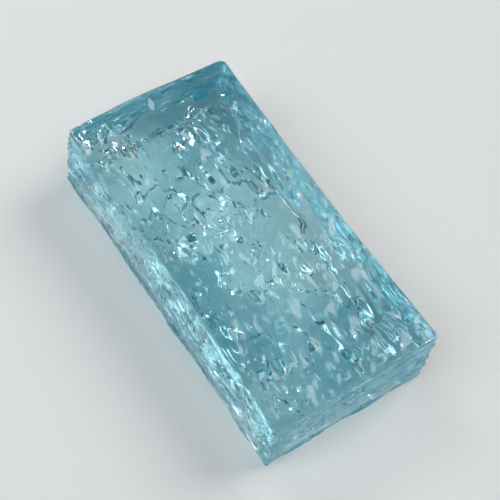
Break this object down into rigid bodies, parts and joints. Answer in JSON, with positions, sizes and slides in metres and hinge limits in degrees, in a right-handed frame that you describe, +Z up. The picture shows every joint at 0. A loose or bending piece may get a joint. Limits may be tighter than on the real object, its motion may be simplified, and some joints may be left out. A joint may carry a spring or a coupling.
{
  "type": "glass block",
  "caption": "Solid cast glass brick for walls and screens, with a softly waved polished top, lapped and wrinkled sides, nearly upright, and a folded underside with a flat margin.",
  "frame": {"origin": "middle of the underside, on the level that the block rests on", "axes": "+X along the block's length, +Y across its width, +Z up through its thickness"},
  "size_m": [0.2038, 0.1026, 0.0511],
  "materials": {
    "cast_glass": "clear light-blue cast glass, fire-polished top, wrinkled walls"
  },
  "bodies": {
    "root": {"glass_block": "cast_glass"}
  },
  "joints": []
}
